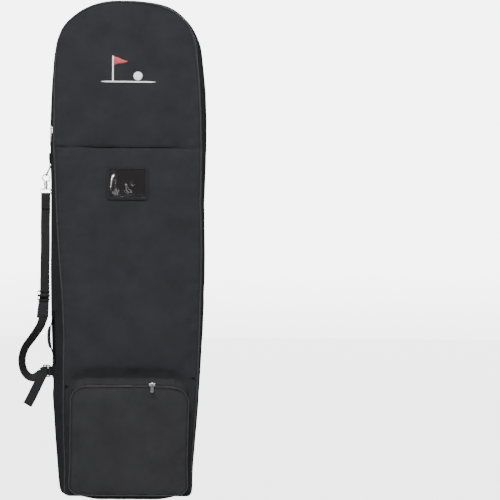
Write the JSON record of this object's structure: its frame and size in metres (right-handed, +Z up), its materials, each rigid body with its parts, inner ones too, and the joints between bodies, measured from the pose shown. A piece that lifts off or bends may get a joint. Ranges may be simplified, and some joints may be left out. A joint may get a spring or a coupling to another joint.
{
  "type": "golf travel case",
  "caption": "Tall padded soft case for carrying a golf bag, with rear wheels, a hood that unzips and folds forward, a zipped front pocket, an ID window and a clip-on shoulder strap.",
  "frame": {"origin": "on the floor, midway across the width and midway between the front and back panels", "axes": "+Z up the case as it stands, -Y out of the front, so the wheels are towards +Y and the strap is on the -X side"},
  "size_m": [0.4603, 0.3512, 1.2601],
  "materials": {
    "body_cloth": "closely woven polyester, padded",
    "front_cloth": "closely woven polyester, padded",
    "pocket_cloth": "closely woven polyester",
    "lining_foam": "foam faced with knit lining",
    "base_board": "hard board under the lining",
    "piping": "corded edge binding",
    "zip_tape": "woven zipper tape",
    "zip_coil": "nylon coil",
    "webbing": "ribbed webbing with a slight sheen",
    "thread": "raised embroidery",
    "window_backing": "dark cloth",
    "window_film": "clear film",
    "zinc": "nickel-plated zinc",
    "steel": "zinc-plated steel",
    "housing_plastic": "moulded, fine grain",
    "wheel_plastic": "moulded nylon",
    "wheel_tread": "smooth urethane tread",
    "foot_plastic": "hard rubber"
  },
  "bodies": {
    "bag": {"back_panel": "body_cloth", "left_side_panel": "body_cloth", "right_side_panel": "body_cloth", "crown_panel": "body_cloth", "lower_front_panel": "front_cloth", "base_panel": "body_cloth", "base_board": "base_board", "crown_pad": "lining_foam", "back_piping": "piping", "lower_front_piping": "piping", "body_zip_tape": "zip_tape", "body_zip_coil": "zip_coil", "id_backing": "window_backing", "id_window": "window_film", "id_frame": "piping", "pocket_bellows": "pocket_cloth", "pocket_upper_tape": "zip_tape", "pocket_upper_coil": "zip_coil", "side_handle": "webbing", "handle_patches": "piping", "left_wheel_housing": "housing_plastic", "right_wheel_housing": "housing_plastic", "left_axle": "steel", "right_axle": "steel", "housing_rivets": "zinc", "backing_plates": "steel", "rear_feet": "foot_plastic", "foot_screws": "steel", "foot_washers": "steel", "ring_tab": "webbing", "anchor_patch": "webbing"},
    "hood": {"hood_panel": "front_cloth", "hood_lip": "body_cloth", "hood_pad": "lining_foam", "hood_piping": "piping", "hood_zip_tape": "zip_tape", "hood_zip_coil": "zip_coil", "emblem": "thread"},
    "pocket_front": {"pocket_face": "pocket_cloth", "pocket_piping": "piping", "pocket_lower_tape": "zip_tape", "pocket_lower_coil": "zip_coil"},
    "main_slider": {"main_slider": "zinc"},
    "main_pull": {"main_pull": "zinc"},
    "pocket_slider": {"pocket_slider": "zinc"},
    "pocket_pull": {"pocket_pull": "zinc"},
    "left_wheel": {"left_tyre": "wheel_tread", "left_hub": "wheel_plastic", "left_bush": "wheel_plastic"},
    "right_wheel": {"right_tyre": "wheel_tread", "right_hub": "wheel_plastic", "right_bush": "wheel_plastic"},
    "strap": {"shoulder_strap": "webbing", "strap_adjuster": "housing_plastic", "ladder_lock": "housing_plastic", "anchor_loop": "webbing", "swivel_eye": "zinc"},
    "d_ring": {"d_ring": "zinc"},
    "hook": {"snap_hook": "zinc"},
    "gate": {"hook_gate": "steel"}
  },
  "joints": [
    {"name": "hood_hinge", "type": "hinge", "parent": "bag", "child": "hood", "pos_m": [0, -0.14, 0.8805], "axis": [1, 0, 0], "range_deg": [0, 135]},
    {"name": "pocket_front_hinge", "type": "hinge", "parent": "bag", "child": "pocket_front", "pos_m": [0, -0.1715, 0.017], "axis": [1, 0, 0], "range_deg": [0, 12]},
    {"name": "main_slider_travel", "type": "slide", "parent": "bag", "child": "main_slider", "axis": [0.0376, 0, 0.9993], "range_m": [-0.03, 0.16]},
    {"name": "main_pull_hinge", "type": "hinge", "parent": "main_slider", "child": "main_pull", "pos_m": [-0.18668, -0.1, 0.92448], "axis": [0, 1, 0], "range_deg": [0, 140]},
    {"name": "pocket_slider_travel", "type": "slide", "parent": "pocket_front", "child": "pocket_slider", "axis": [1, 0, 0], "range_m": [-0.16, 0.044]},
    {"name": "pocket_pull_hinge", "type": "hinge", "parent": "pocket_slider", "child": "pocket_pull", "pos_m": [0.058, -0.16825, 0.29473], "axis": [-1, 0, 0], "range_deg": [0, 150]},
    {"name": "left_wheel_spin", "type": "hinge", "parent": "bag", "child": "left_wheel", "pos_m": [-0.1195, 0.125, 0.03], "axis": [1, 0, 0], "continuous": true},
    {"name": "right_wheel_spin", "type": "hinge", "parent": "bag", "child": "right_wheel", "pos_m": [0.1195, 0.125, 0.03], "axis": [1, 0, 0], "continuous": true},
    {"name": "strap_swing", "type": "hinge", "parent": "bag", "child": "strap", "pos_m": [-0.18702, 0.015, 0.316], "axis": [-0.0421, 0, 0.9991], "range_deg": [-35, 35]},
    {"name": "d_ring_hinge", "type": "hinge", "parent": "bag", "child": "d_ring", "pos_m": [-0.19613, 0.015, 0.838], "axis": [0, 1, 0], "range_deg": [-5, 0]},
    {"name": "hook_swivel", "type": "hinge", "parent": "strap", "child": "hook", "pos_m": [-0.20796, 0.015, 0.781], "axis": [0, 0, -1], "range_deg": [-35, 35]},
    {"name": "gate_hinge", "type": "hinge", "parent": "hook", "child": "gate", "pos_m": [-0.19936, 0.015, 0.80052], "axis": [0, -1, 0], "range_deg": [0, 20], "stiffness_Nm_per_rad": 0.01, "springref_deg": -11.46}
  ]
}
